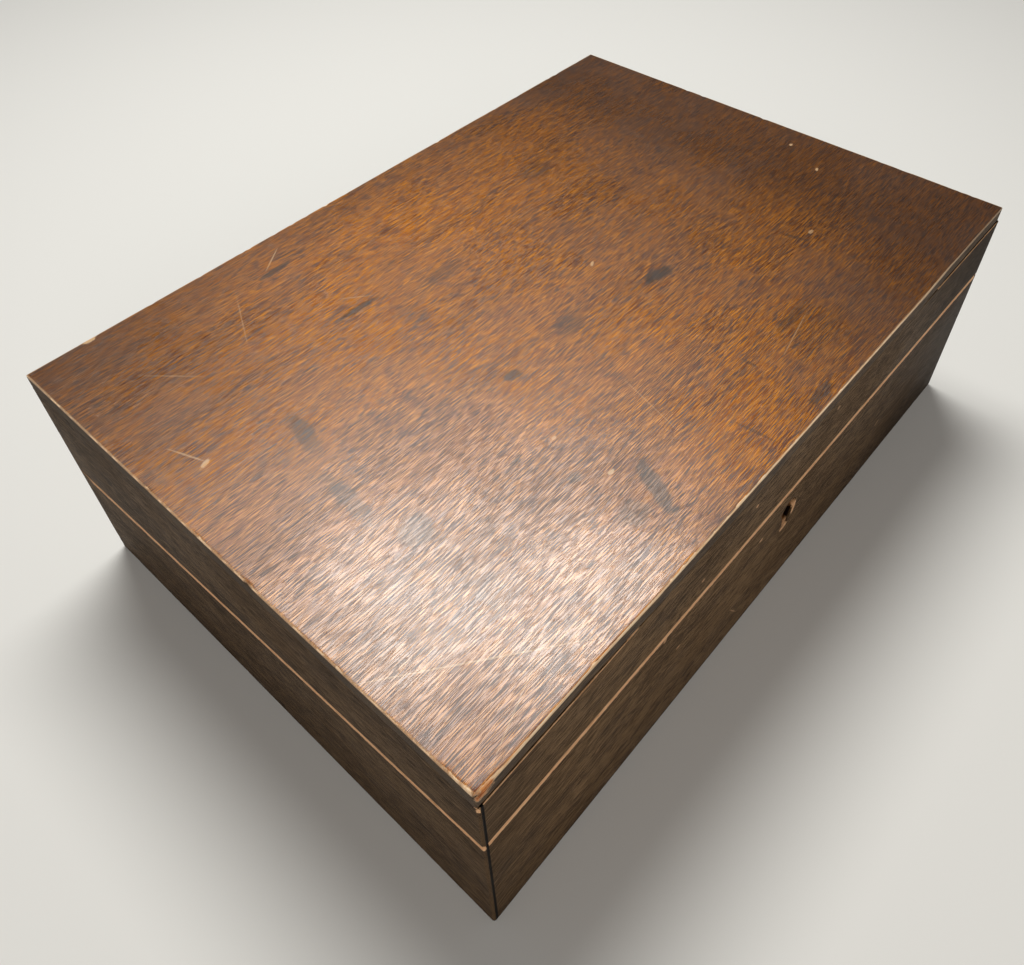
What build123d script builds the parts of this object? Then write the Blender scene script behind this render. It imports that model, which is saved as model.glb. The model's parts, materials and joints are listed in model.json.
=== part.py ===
from build123d import *
from math import atan2, cos, sin, tan
import os

os.makedirs("parts", exist_ok=True)

# Writing box in millimetres, closed
# X runs along the front, Y towards the hinge side, Z up
# The origin is the middle of the underside

# Outside of the closed box
box_length = 350.0
box_width = 242.0
box_height = 115.0
base_front_height = 77.7
hinge_height = 57.5
rim_gap = 0.2
open_gap = 0.3

# Boards of the case
wall = 10.0
corner_lap = 1.6
corner_round = 0.7
top_board = 7.0
top_arris = 0.8
bottom_board = 6.0
bottom_rebate = 5.0
rim_wear = 0.5
housing_depth = 2.0

# Pen well along the keyhole side
pen_well_width = 50.0
partition_thickness = 8.0
partition_lip = 4.0
inkwell_bay = 44.0
divider_thickness = 4.0
finger_notch_width = 32.0
finger_notch_depth = 13.0
finger_notch_corner = 5.0
tray_top = 60.0
tray_thickness = 18.0
tray_clearance = 0.4
trough_radius = 24.0
trough_depth = 12.0
trough_end_margin = 9.0
bearer_width = 6.0
bearer_height = 8.0

# Writing flaps
flap_thickness = 6.0
flap_drop = 0.35
flap_clearance = 0.6
flap_seat_gap = 0.1
lining_thickness = 0.7
lining_margin = 12.0

# Main hinges, let into the rims
hinge_offset = 112.0
hinge_length = 38.0
hinge_leaf_width = 6.6
hinge_leaf = 1.3
hinge_knuckle_radius = 2.2
hinge_pin_radius = 1.1
knuckle_count = 5
knuckle_gap = 0.2
knuckle_clearance = 0.25
pin_clearance = 0.05
main_leaf_screws = 3

# Flap hinges
flap_hinge_offset = 60.0
flap_hinge_length = 26.0
flap_hinge_drop = 12.0
flap_hinge_tail = 12.0
flap_leaf = 1.0
flap_knuckle_radius = 1.6
flap_pin_radius = 0.75
flap_axis_to_wall = 2.0
flap_axis_to_edge = 2.0
flap_leaf_screws = 2

# Box lock and its strike
lock_x = 3.0
key_height = 61.5
keyhole_radius = 5.2
keyhole_shoulder_width = 10.0
keyhole_foot_width = 4.8
keyhole_foot_height = 51.6
key_slot_radius = 2.8
key_slot_width = 2.8
key_slot_drop = 10.0
bolt_setback = 5.6
bolt_thickness = 1.6
bolt_height = 4.3
bolt_travel = 4.0
bolt_front_end = 13.0
bolt_back_end = 18.0
bolt_to_hook = 0.6
tongue_height = 3.4
tongue_arm = 3.0
tongue_clearance = 0.5
talon_width = 4.4
talon_height = 2.3
hook_spacing = 20.0
hook_thickness = 2.0
hook_width = 4.0
hook_drop = 9.2
hook_window_width = 2.4
hook_foot = 1.4
hook_end_clearance = 0.5
slot_side_clearance = 0.5
slot_back_clearance = 0.8
strike_length = 54.0
strike_width = 8.0
strike_thickness = 1.2
lock_plate_length = 56.0
lock_plate_thickness = 1.2
lock_plate_foot = 2.5
selvedge_width = 8.4
selvedge_thickness = 1.4
case_length = 40.0
case_depth = 6.4
case_below_key = 13.0
case_sheet = 0.8
key_pin_radius = 1.4
stud_radius = 1.0
stud_left = -12.0
stud_right = 9.0
stud_clearance = 0.05
stud_overrun = 0.15
collar_radius = 1.6
spring_thickness = 0.4
spring_left = -7.5
spring_right = 0.9
spring_relief = 0.2

# Turn button that keeps the lid flap shut
button_x = 75.0
button_reach = 11.0
button_width = 5.0
button_thickness = 1.0
button_recess_clearance = 0.4
button_face_clearance = 0.15
button_back_clearance = 0.05
flap_recess_clearance = 0.2
button_pivot_radius = 1.2
button_head_radius = 2.0
button_head = 0.35
button_pivot_length = 7.0

# Inkwells
bottle_side = 40.0
bottle_corner = 4.0
bottle_height = 44.0
bottle_floor = 6.0
ink_chamber_radius = 14.0
ink_chamber_height = 32.0
neck_radius = 11.0
neck_bore_radius = 8.0
neck_height = 8.0
cap_radius = 14.0
cap_skirt = 7.0
cap_crown = 3.0
cap_round = 1.5
cap_clearance = 0.1
washer_thickness = 1.0

# Screws
hinge_screw_length = 9.0
leaf_screw_length = 7.0
flap_screw_length = 5.0
lock_screw_length = 7.0
strike_screw_length = 8.0
screw_shank_radius = 0.9
screw_head_radius = 2.0
small_shank_radius = 0.75
small_head_radius = 1.6
lock_screw_inset = 3.5
screw_slot_depth = 0.4
screw_slot_width = 0.45
screw_slot_overrun = 0.2


def save(piece, node):
    """Name a finished piece and write it."""
    piece.part.label = node
    export_step(piece.part, f"parts/{node}.step")


# The seam is the sloping plane in which the two rims meet
# It runs through the axis of the main hinges, just behind the back faces
hinge_y = box_width / 2 + open_gap / 2
seam_angle = atan2(base_front_height - hinge_height, hinge_y + box_width / 2)
seam_normal = (0, sin(seam_angle), cos(seam_angle))
seam = Plane(origin=(0, hinge_y, hinge_height), x_dir=(1, 0, 0), z_dir=seam_normal)
base_rim = seam.offset(-rim_gap / 2)
lid_rim = seam.offset(rim_gap / 2)
slope_direction = Axis((0, 0, 0), (0, cos(seam_angle), -sin(seam_angle)))


def seam_height(y):
    """Height of the seam over a place between front and back."""
    return hinge_height + (hinge_y - y) * tan(seam_angle)


def along_seam(y, lift):
    """Distance along the slope, from the hinge axis, of a place at y that is lift off the seam."""
    return (y - hinge_y - lift * sin(seam_angle)) / cos(seam_angle)


# Places that several pieces share
front_face = -box_width / 2
inner_front = front_face + wall
inner_back = box_width / 2 - wall
inner_length = box_length - 2 * wall
partition_front = inner_front + pen_well_width
partition_back = partition_front + partition_thickness
well_middle = (inner_front + partition_front) / 2
face_lift = rim_gap / 2 + flap_drop
back_lift = face_lift + flap_thickness
seat_lift = back_lift + flap_seat_gap
flap_length = inner_length - 2 * flap_clearance
flap_axis_lift = face_lift + flap_knuckle_radius
flap_axis_y = inner_back - flap_axis_to_wall
lid_underside = box_height - top_board


def slope_frame(x, y, lift, facing):
    """Frame in the slope at a place, with Z along the seam's normal, or against it if facing is -1."""
    origin = (x, y, seam_height(y) + lift / cos(seam_angle))
    return Plane(origin=origin, x_dir=(facing, 0, 0), z_dir=Vector(*seam_normal) * facing)


def screws(places, length, shank_radius, head_radius):
    """Countersunk screws along -Z of each place: the plain blanks, and the same with slotted heads."""
    head_depth = head_radius - shank_radius
    with BuildPart() as blanks:
        for place in places:
            profile = Plane(origin=place.origin, x_dir=place.x_dir, z_dir=-place.y_dir)
            with BuildSketch(profile):
                with BuildLine():
                    Polyline(
                        (0, 0),
                        (head_radius, 0),
                        (shank_radius, -head_depth),
                        (shank_radius, -length + 2 * shank_radius),
                        (0, -length),
                        close=True,
                    )
                make_face()
            revolve(axis=Axis(place.origin, place.z_dir))
    with BuildPart() as slotted:
        add(blanks.part)
        for place in places:
            with BuildSketch(place):
                Rectangle(2 * (head_radius + screw_slot_overrun), screw_slot_width)
            extrude(amount=-screw_slot_depth, mode=Mode.SUBTRACT)
    return blanks.part, slotted.part


def spread(length, count):
    """Even places along a length, counted from its middle."""
    pitch = length / count
    return [(number - (count - 1) / 2) * pitch for number in range(count)]


def knuckle_starts(length, own):
    """Places along the pin where one leaf's own knuckles start: own is 0 for the outer ones."""
    pitch = length / knuckle_count
    return [number * pitch for number in range(own, knuckle_count, 2)]


def pin_end(frame, length):
    """Plane square to the pin, at the end where the hinge starts."""
    start = frame.origin - frame.x_dir * (length / 2)
    return Plane(origin=start, x_dir=frame.y_dir, z_dir=frame.x_dir)


def hinge_leaf_part(frame, length, own, plates, bridges, radius, bore):
    """A leaf with its knuckles round the frame's X axis.

    plates and bridges are rectangles (y low, y high, z low, z high) in the frame:
    plates run the whole length, bridges join them to the leaf's own knuckles.
    """
    end = pin_end(frame, length)
    knuckle = length / knuckle_count - knuckle_gap
    with BuildPart() as leaf:
        with BuildSketch(end):
            for low, high, under, over in plates:
                with Locations(((low + high) / 2, (under + over) / 2)):
                    Rectangle(high - low, over - under)
        extrude(amount=length)
        for start in knuckle_starts(length, own):
            with BuildSketch(end.offset(start + knuckle_gap / 2)):
                Circle(radius)
                for low, high, under, over in bridges:
                    with Locations(((low + high) / 2, (under + over) / 2)):
                        Rectangle(high - low, over - under)
            extrude(amount=knuckle)
        with BuildSketch(end):
            Circle(bore)
        extrude(amount=length, mode=Mode.SUBTRACT)
    return leaf.part


def end_board_outline(side):
    """Plan of an end board, which laps over the ends of the long boards at both corners."""
    shoulder = wall - corner_lap
    with BuildSketch() as outline:
        with Locations((side * (box_length - wall) / 2, 0)):
            Rectangle(wall, box_width)
        shoulder_x = side * (box_length / 2 - corner_lap - shoulder / 2)
        with Locations(*[(shoulder_x, end * (box_width - wall) / 2) for end in (-1, 1)]):
            Rectangle(shoulder, wall, mode=Mode.SUBTRACT)
    return outline.sketch


# Main hinges
# Each leaf lies in its rim, and the outer knuckles and the pin belong to the base
hinge_places = (-hinge_offset, hinge_offset)
leaf_reach = hinge_knuckle_radius + knuckle_clearance
leaf_plate = (-leaf_reach - hinge_leaf_width, -leaf_reach, -rim_gap / 2 - hinge_leaf, -rim_gap / 2)
leaf_bridge = (-leaf_reach, -hinge_knuckle_radius / 2, -rim_gap / 2 - hinge_leaf, -rim_gap / 2)


def main_hinge_frames(facing):
    return [slope_frame(x, hinge_y, 0, facing) for x in hinge_places]


def main_hinge_screw_places(facing):
    """Three screws in each leaf, driven into the rim that the leaf lies in."""
    reach = -leaf_reach - hinge_leaf_width / 2
    places = []
    for frame in main_hinge_frames(facing):
        for place in spread(hinge_length, main_leaf_screws):
            spot = frame.from_local_coords(Vector(place, reach, -rim_gap / 2))
            places.append(Plane(origin=spot, x_dir=frame.x_dir, z_dir=frame.z_dir))
    return places


def main_leaves(facing, own, bore):
    """Both leaves of one rim: own is 0 for the outer knuckles and 1 for those between them."""
    plates, bridges = [leaf_plate], [leaf_bridge]
    return [
        hinge_leaf_part(frame, hinge_length, own, plates, bridges, hinge_knuckle_radius, bore)
        for frame in main_hinge_frames(facing)
    ]


base_leaf_list = main_leaves(1, 0, hinge_pin_radius)
lid_leaf_list = main_leaves(-1, 1, hinge_pin_radius + pin_clearance)
base_hinge_blanks, base_hinge_slotted = screws(
    main_hinge_screw_places(1), hinge_screw_length, screw_shank_radius, screw_head_radius
)
lid_hinge_blanks, lid_hinge_slotted = screws(
    main_hinge_screw_places(-1), hinge_screw_length, screw_shank_radius, screw_head_radius
)

with BuildPart() as base_hinge_leaves:
    add(base_leaf_list)
    add(base_hinge_blanks, mode=Mode.SUBTRACT)
save(base_hinge_leaves, "base_hinge_leaves")

with BuildPart() as lid_hinge_leaves:
    add(lid_leaf_list)
    add(lid_hinge_blanks, mode=Mode.SUBTRACT)
save(lid_hinge_leaves, "lid_hinge_leaves")

with BuildPart() as hinge_pins:
    for hinge_x in hinge_places:
        with BuildSketch(Plane.YZ.offset(hinge_x - hinge_length / 2)):
            with Locations((hinge_y, hinge_height)):
                Circle(hinge_pin_radius)
        extrude(amount=hinge_length)
save(hinge_pins, "hinge_pins")

with BuildPart() as base_hinge_screws:
    add(base_hinge_slotted)
save(base_hinge_screws, "base_hinge_screws")

with BuildPart() as lid_hinge_screws:
    add(lid_hinge_slotted)
save(lid_hinge_screws, "lid_hinge_screws")


def hinge_pocket(facing):
    """The shallow pockets in a rim for the leaves, and the round notch for their knuckles."""
    pockets = []
    for frame in main_hinge_frames(facing):
        with BuildPart() as pocket:
            with BuildSketch(pin_end(frame, hinge_length)):
                low = -leaf_reach - hinge_leaf_width
                with Locations((low / 2, -(rim_gap / 2 + hinge_leaf) / 2)):
                    Rectangle(-low, rim_gap / 2 + hinge_leaf)
                Circle(leaf_reach)
            extrude(amount=hinge_length)
        pockets.append(pocket.part)
    return pockets


# Hinges of the two writing flaps
# Their pins lie just below the face of each flap, in the channel along the back wall
# facing is 1 for the base flap and -1 for the lid flap
flap_hinge_places = (-flap_hinge_offset, flap_hinge_offset)
knuckle_room = flap_knuckle_radius + knuckle_clearance
leaf_foot = flap_thickness - flap_knuckle_radius
fixed_plate = (
    -flap_hinge_drop,
    -knuckle_room,
    flap_axis_to_wall - flap_leaf,
    flap_axis_to_wall,
)
fixed_bridge = (-knuckle_room, 0, flap_axis_to_wall - flap_leaf, flap_axis_to_wall)
moving_web = (
    -flap_axis_to_edge,
    -flap_axis_to_edge + flap_leaf,
    -leaf_foot - flap_leaf,
    -knuckle_room,
)
moving_tail = (
    -flap_axis_to_edge - flap_hinge_tail,
    -flap_axis_to_edge + flap_leaf,
    -leaf_foot - flap_leaf,
    -leaf_foot,
)
moving_bridge = (-flap_axis_to_edge, -flap_axis_to_edge + flap_leaf, -knuckle_room, 0)


def flap_axis_frames(facing):
    """Frames on a flap's hinge axis that lie in the slope and face as the flap faces."""
    return [slope_frame(x, flap_axis_y, -facing * flap_axis_lift, facing) for x in flap_hinge_places]


def fixed_leaf_frames(facing):
    """Frames on the same axis that stand against the back wall, with Y away from the leaf."""
    frames = []
    for frame in flap_axis_frames(facing):
        frames.append(Plane(origin=frame.origin, x_dir=(-facing, 0, 0), z_dir=(0, 1, 0)))
    return frames


def fixed_leaf_screw_places(facing):
    places = []
    depth = (-flap_hinge_drop - knuckle_room) / 2
    leaf_face = flap_axis_to_wall - flap_leaf
    for frame in fixed_leaf_frames(facing):
        for place in spread(flap_hinge_length, flap_leaf_screws):
            spot = frame.from_local_coords(Vector(place, depth, leaf_face))
            places.append(Plane(origin=spot, x_dir=frame.x_dir, z_dir=(0, -1, 0)))
    return places


def moving_leaf_screw_places(facing):
    places = []
    reach = -flap_axis_to_edge - flap_hinge_tail / 2
    leaf_face = -leaf_foot - flap_leaf
    for frame in flap_axis_frames(facing):
        for place in spread(flap_hinge_length, flap_leaf_screws):
            spot = frame.from_local_coords(Vector(place, reach, leaf_face))
            places.append(Plane(origin=spot, x_dir=frame.x_dir, z_dir=-frame.z_dir))
    return places


def flap_leaf_part(frame, own, plates, bridges, bore):
    return hinge_leaf_part(frame, flap_hinge_length, own, plates, bridges, flap_knuckle_radius, bore)


flap_parts = {}
for flap_name, facing in (("base_flap", 1), ("lid_flap", -1)):
    fixed_list = [
        flap_leaf_part(frame, 0, [fixed_plate], [fixed_bridge], flap_pin_radius)
        for frame in fixed_leaf_frames(facing)
    ]
    moving_bore = flap_pin_radius + pin_clearance
    moving_list = [
        flap_leaf_part(frame, 1, [moving_web, moving_tail], [moving_bridge], moving_bore)
        for frame in flap_axis_frames(facing)
    ]
    fixed_blanks, fixed_slotted = screws(
        fixed_leaf_screw_places(facing), leaf_screw_length, small_shank_radius, small_head_radius
    )
    moving_blanks, moving_slotted = screws(
        moving_leaf_screw_places(facing), flap_screw_length, small_shank_radius, small_head_radius
    )
    flap_parts[flap_name] = (fixed_blanks, moving_blanks)

    with BuildPart() as fixed_leaves:
        add(fixed_list)
        add(fixed_blanks, mode=Mode.SUBTRACT)
    save(fixed_leaves, f"{flap_name}_hinge_fixed_leaves")

    with BuildPart() as moving_leaves:
        add(moving_list)
        add(moving_blanks, mode=Mode.SUBTRACT)
    save(moving_leaves, f"{flap_name}_hinge_moving_leaves")

    with BuildPart() as flap_pins:
        for frame in flap_axis_frames(facing):
            with BuildSketch(Plane.YZ.offset(frame.origin.X - flap_hinge_length / 2)):
                with Locations((frame.origin.Y, frame.origin.Z)):
                    Circle(flap_pin_radius)
            extrude(amount=flap_hinge_length)
    save(flap_pins, f"{flap_name}_hinge_pins")

    with BuildPart() as fixed_screws:
        add(fixed_slotted)
    save(fixed_screws, f"{flap_name}_hinge_fixed_screws")

    with BuildPart() as moving_screws:
        add(moving_slotted)
    save(moving_screws, f"{flap_name}_hinge_moving_screws")


# Box lock, let into the inside of the front wall
# Its plate is bent over at the top into the selvedge, which lies in the rim
key_frame = Plane(origin=(lock_x, front_face, 0), x_dir=(1, 0, 0), z_dir=(0, -1, 0))
bolt_y = front_face + bolt_setback
plate_face = inner_front - lock_plate_thickness
case_face = plate_face - case_depth
case_bottom = key_height - case_below_key
hook_tip = seam_height(bolt_y) + rim_gap / 2 - hook_drop
tongue_bottom = hook_tip + hook_foot + tongue_clearance
bolt_top = hook_tip - hook_end_clearance
bolt_bottom = bolt_top - bolt_height
stud_height = bolt_bottom + bolt_height / 2
hook_places = (lock_x - hook_spacing / 2, lock_x + hook_spacing / 2)
selvedge_back = inner_front - selvedge_width
selvedge_under = seam_height(bolt_y) - rim_gap / 2 - selvedge_thickness

with BuildPart() as selvedge_strip:
    with BuildSketch(Plane.XY.offset(case_bottom)):
        with Locations((lock_x, (inner_front + selvedge_back) / 2)):
            Rectangle(lock_plate_length, selvedge_width)
    extrude(amount=box_height)
    split(bisect_by=base_rim, keep=Keep.BOTTOM)
    split(bisect_by=base_rim.offset(-selvedge_thickness), keep=Keep.TOP)

with BuildPart() as plate_strip:
    with BuildSketch(Plane.XY.offset(case_bottom - lock_plate_foot)):
        with Locations((lock_x, inner_front - lock_plate_thickness / 2)):
            Rectangle(lock_plate_length, lock_plate_thickness)
    extrude(amount=box_height)
    split(bisect_by=base_rim, keep=Keep.BOTTOM)

plate_screw_x = lock_plate_length / 2 - lock_screw_inset
selvedge_screw_places = [
    slope_frame(lock_x + side * plate_screw_x, bolt_y, -rim_gap / 2, 1) for side in (-1, 1)
]
plate_screw_places = [
    Plane(origin=(lock_x + side * plate_screw_x, inner_front, height), x_dir=(1, 0, 0), z_dir=(0, 1, 0))
    for side in (-1, 1)
    for height in (case_bottom + lock_screw_inset / 2, key_height + lock_screw_inset / 2)
]
lock_blanks, lock_slotted = screws(
    selvedge_screw_places + plate_screw_places, lock_screw_length, screw_shank_radius, screw_head_radius
)

with BuildPart() as lock_plate:
    add(selvedge_strip.part)
    add(plate_strip.part)
    for hook_x in hook_places:
        slot_front = bolt_y - hook_width / 2 - slot_side_clearance
        slot_back = bolt_y + hook_width / 2 + slot_back_clearance
        with BuildSketch(Plane.XY.offset(hook_tip)):
            with Locations((hook_x, (slot_front + slot_back) / 2)):
                Rectangle(hook_thickness + 2 * slot_side_clearance, slot_back - slot_front)
        extrude(amount=2 * hook_drop, mode=Mode.SUBTRACT)
    add(lock_blanks, mode=Mode.SUBTRACT)
save(lock_plate, "lock_plate")

with BuildPart() as lock_case:
    with BuildSketch(Plane.XY.offset(case_bottom)):
        with Locations((lock_x, (case_face + plate_face) / 2)):
            Rectangle(case_length, case_depth)
    extrude(amount=box_height)
    split(bisect_by=base_rim.offset(-selvedge_thickness), keep=Keep.BOTTOM)
    with BuildSketch(Plane.XY.offset(case_bottom + case_sheet)):
        with Locations((lock_x, (case_face + case_sheet + plate_face) / 2)):
            Rectangle(case_length - 2 * case_sheet, case_depth - case_sheet)
    extrude(amount=box_height, mode=Mode.SUBTRACT)
    with BuildSketch(key_frame.offset(-bolt_setback)):
        with Locations((0, key_height)):
            Circle(key_slot_radius)
        with Locations((0, key_height - key_slot_drop / 2)):
            Rectangle(key_slot_width, key_slot_drop)
    extrude(amount=bolt_setback, mode=Mode.SUBTRACT)
save(lock_case, "lock_case")

with BuildPart() as lock_case_mortise:
    with BuildSketch(Plane.XY.offset(case_bottom)):
        with Locations((lock_x, (case_face + plate_face) / 2)):
            Rectangle(case_length, case_depth)
    extrude(amount=box_height)

with BuildPart() as lock_key_pin:
    with BuildSketch(Plane.XZ.offset(-plate_face)):
        with Locations((lock_x, key_height)):
            Circle(key_pin_radius)
    extrude(amount=case_depth)
save(lock_key_pin, "lock_key_pin")

with BuildPart() as lock_guide_studs:
    stud_places = [(lock_x + stud_x, stud_height) for stud_x in (stud_left, stud_right)]
    collar_length = plate_face - (bolt_y + bolt_thickness / 2) - stud_clearance
    stud_length = collar_length + bolt_thickness + stud_clearance + stud_overrun
    with BuildSketch(Plane.XZ.offset(-plate_face)):
        with Locations(*stud_places):
            Circle(collar_radius)
    extrude(amount=collar_length)
    with BuildSketch(Plane.XZ.offset(-plate_face)):
        with Locations(*stud_places):
            Circle(stud_radius)
    extrude(amount=stud_length)
save(lock_guide_studs, "lock_guide_studs")

with BuildPart() as lock_bolt:
    with BuildSketch(Plane.XZ.offset(-bolt_y - bolt_thickness / 2)):
        body_middle = lock_x + (bolt_front_end - bolt_back_end) / 2
        with Locations((body_middle, bolt_bottom + bolt_height / 2)):
            Rectangle(bolt_front_end + bolt_back_end, bolt_height)
        for hook_x in hook_places:
            tongue_tip = hook_x - hook_thickness / 2 - bolt_to_hook
            tongue_back = hook_x - bolt_back_end + hook_spacing / 2
            with Locations(((tongue_back + tongue_tip) / 2, tongue_bottom + tongue_height / 2)):
                Rectangle(tongue_tip - tongue_back, tongue_height)
            arm_height = tongue_bottom + tongue_height - bolt_bottom
            with Locations((tongue_back + tongue_arm / 2, bolt_bottom + arm_height / 2)):
                Rectangle(tongue_arm, arm_height)
        with Locations((lock_x, bolt_bottom + talon_height / 2)):
            Rectangle(talon_width, talon_height, mode=Mode.SUBTRACT)
        for stud_x in (stud_left, stud_right):
            with Locations((lock_x + stud_x - bolt_travel / 2, stud_height)):
                SlotCenterToCenter(bolt_travel, 2 * (stud_radius + stud_clearance), mode=Mode.SUBTRACT)
    extrude(amount=bolt_thickness)
save(lock_bolt, "lock_bolt")

with BuildPart() as lock_spring:
    spring_crown = selvedge_under - spring_relief
    spring_middle = lock_x + (spring_left + spring_right) / 2
    with BuildSketch(Plane.XZ.offset(-bolt_y - bolt_thickness / 2)):
        with BuildLine():
            outer = ThreePointArc(
                (lock_x + spring_left, bolt_top),
                (spring_middle, spring_crown),
                (lock_x + spring_right, bolt_top),
            )
            inner = ThreePointArc(
                (lock_x + spring_left + spring_thickness, bolt_top),
                (spring_middle, spring_crown - spring_thickness),
                (lock_x + spring_right - spring_thickness, bolt_top),
            )
            Line(outer @ 0, inner @ 0)
            Line(outer @ 1, inner @ 1)
        make_face()
    extrude(amount=bolt_thickness)
save(lock_spring, "lock_spring")

with BuildPart() as lock_screws:
    add(lock_slotted)
save(lock_screws, "lock_screws")

# Strike plate in the lid's front rim, with two hooks that drop through the selvedge
strike_screw_x = strike_length / 2 - lock_screw_inset
strike_screw_places = [
    slope_frame(lock_x + side * strike_screw_x, bolt_y, rim_gap / 2, -1) for side in (-1, 1)
]
strike_blanks, strike_slotted = screws(
    strike_screw_places, strike_screw_length, screw_shank_radius, screw_head_radius
)
strike_centre = along_seam(bolt_y, rim_gap / 2)

with BuildPart() as strike_plate:
    with BuildSketch(lid_rim):
        with Locations((lock_x, strike_centre)):
            Rectangle(strike_length, strike_width)
    extrude(amount=strike_thickness)
    with BuildSketch(Plane.XY.offset(hook_tip)):
        with Locations(*[(hook_x, bolt_y) for hook_x in hook_places]):
            Rectangle(hook_thickness, hook_width)
    extrude(amount=hook_drop + strike_thickness / 2)
    window_height = tongue_height + 2 * tongue_clearance
    with BuildSketch(Plane.YZ.offset(lock_x - strike_length / 2)):
        with Locations((bolt_y, hook_tip + hook_foot + window_height / 2)):
            Rectangle(hook_window_width, window_height)
    extrude(amount=strike_length, mode=Mode.SUBTRACT)
    add(strike_blanks, mode=Mode.SUBTRACT)
save(strike_plate, "strike_plate")

with BuildPart() as strike_screws:
    add(strike_slotted)
save(strike_screws, "strike_screws")

# Turn button on the lid's front rim, swung over the edge of the lid flap to hold it
# Its frame lies in the lid's rim and faces into the lid
button_y = front_face + wall / 2
button_rim = slope_frame(button_x, button_y, rim_gap / 2, 1)
button_plane = button_rim.offset(button_face_clearance)
button_sweep = button_reach + button_recess_clearance
button_side = button_width / 2 + button_recess_clearance

with BuildPart() as turn_button:
    with BuildSketch(button_plane):
        Circle(button_width / 2)
        with Locations(((button_reach - button_width / 2) / 2, 0)):
            Rectangle(button_reach - button_width / 2, button_width)
        with Locations((button_reach - button_width / 2, 0)):
            Circle(button_width / 2)
    extrude(amount=button_thickness)
    with BuildSketch(button_plane):
        Circle(button_pivot_radius + pin_clearance)
    extrude(amount=button_thickness, mode=Mode.SUBTRACT)
    with BuildSketch(button_plane):
        Circle(button_head_radius + pin_clearance)
    extrude(amount=button_head + pin_clearance, mode=Mode.SUBTRACT)
save(turn_button, "turn_button")

with BuildPart() as turn_button_pivot:
    with BuildSketch(button_plane):
        Circle(button_head_radius)
    extrude(amount=button_head)
    with BuildSketch(button_plane):
        Circle(button_pivot_radius)
    extrude(amount=button_pivot_length)
save(turn_button_pivot, "turn_button_pivot")

# Partition and dividers of the pen well, housed in the walls
lip_edge = along_seam(partition_front + partition_lip, -face_lift)
notch_middle = seam_height(partition_front)

divider_inner = inner_length / 2 - inkwell_bay - divider_thickness
divider_parts = []
for side, hand in ((-1, "left"), (1, "right")):
    with BuildPart() as inkwell_divider:
        with BuildSketch(Plane.XY.offset(bottom_board)):
            with Locations((side * (divider_inner + divider_thickness / 2), well_middle)):
                Rectangle(divider_thickness, pen_well_width + 2 * housing_depth)
        extrude(amount=box_height)
        split(bisect_by=seam.offset(-face_lift), keep=Keep.BOTTOM)
    divider_parts.append(inkwell_divider.part)
    save(inkwell_divider, f"{hand}_inkwell_divider")

with BuildPart() as pen_well_partition:
    with BuildSketch(Plane.XY.offset(bottom_board)):
        with Locations((0, (partition_front + partition_back) / 2)):
            Rectangle(inner_length + 2 * housing_depth, partition_thickness)
    extrude(amount=box_height)
    split(bisect_by=seam.offset(-face_lift), keep=Keep.BOTTOM)
    with BuildSketch(seam.offset(-seat_lift)):
        with Locations((0, lip_edge + partition_thickness / 2)):
            Rectangle(box_length, partition_thickness)
    extrude(amount=seat_lift, mode=Mode.SUBTRACT)
    with BuildSketch(Plane.XZ.offset(-partition_back)):
        with Locations((0, notch_middle)):
            RectangleRounded(finger_notch_width, 2 * finger_notch_depth, finger_notch_corner)
    extrude(amount=partition_thickness, mode=Mode.SUBTRACT)
    add(divider_parts, mode=Mode.SUBTRACT)
save(pen_well_partition, "pen_well_partition")

# Pen tray, a lift-out block with a round-bottomed trough, and the strips it rests on
with BuildPart() as pen_tray:
    with BuildSketch(Plane.XY.offset(tray_top - tray_thickness)):
        with Locations((0, well_middle)):
            Rectangle(2 * (divider_inner - tray_clearance), pen_well_width - 2 * tray_clearance)
    extrude(amount=tray_thickness)
    trough_height = tray_top + trough_radius - trough_depth
    trough_half = (trough_radius ** 2 - (trough_radius - trough_depth) ** 2) ** 0.5
    trough_run = 2 * (divider_inner - tray_clearance - trough_end_margin - trough_half)
    with BuildSketch(Plane.YZ.offset(-trough_run / 2)):
        with Locations((well_middle, trough_height)):
            Circle(trough_radius)
    extrude(amount=trough_run, mode=Mode.SUBTRACT)
    with Locations(*[(end * trough_run / 2, well_middle, trough_height) for end in (-1, 1)]):
        Sphere(trough_radius, mode=Mode.SUBTRACT)
save(pen_tray, "pen_tray")

with BuildPart() as pen_tray_bearers:
    with BuildSketch(Plane.XY.offset(tray_top - tray_thickness - bearer_height)):
        bearer_x = divider_inner - bearer_width / 2
        with Locations((-bearer_x, well_middle), (bearer_x, well_middle)):
            Rectangle(bearer_width, pen_well_width)
    extrude(amount=bearer_height)
save(pen_tray_bearers, "pen_tray_bearers")

# Ledges along the end walls that carry the flaps
ledge_x = (inner_length - bearer_width) / 2

with BuildPart() as base_flap_bearers:
    ledge_front = along_seam(partition_back, -seat_lift - bearer_height)
    ledge_back = along_seam(inner_back, -seat_lift)
    with BuildSketch(seam.offset(-seat_lift)):
        with Locations(*[(side * ledge_x, (ledge_front + ledge_back) / 2) for side in (-1, 1)]):
            Rectangle(bearer_width, ledge_back - ledge_front)
    extrude(amount=-bearer_height)
save(base_flap_bearers, "base_flap_bearers")

with BuildPart() as lid_flap_bearers:
    ledge_front = along_seam(inner_front, seat_lift)
    ledge_back = along_seam(inner_back, seat_lift + bearer_height)
    with BuildSketch(seam.offset(seat_lift)):
        with Locations(*[(side * ledge_x, (ledge_front + ledge_back) / 2) for side in (-1, 1)]):
            Rectangle(bearer_width, ledge_back - ledge_front)
    extrude(amount=bearer_height)
save(lid_flap_bearers, "lid_flap_bearers")

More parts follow.
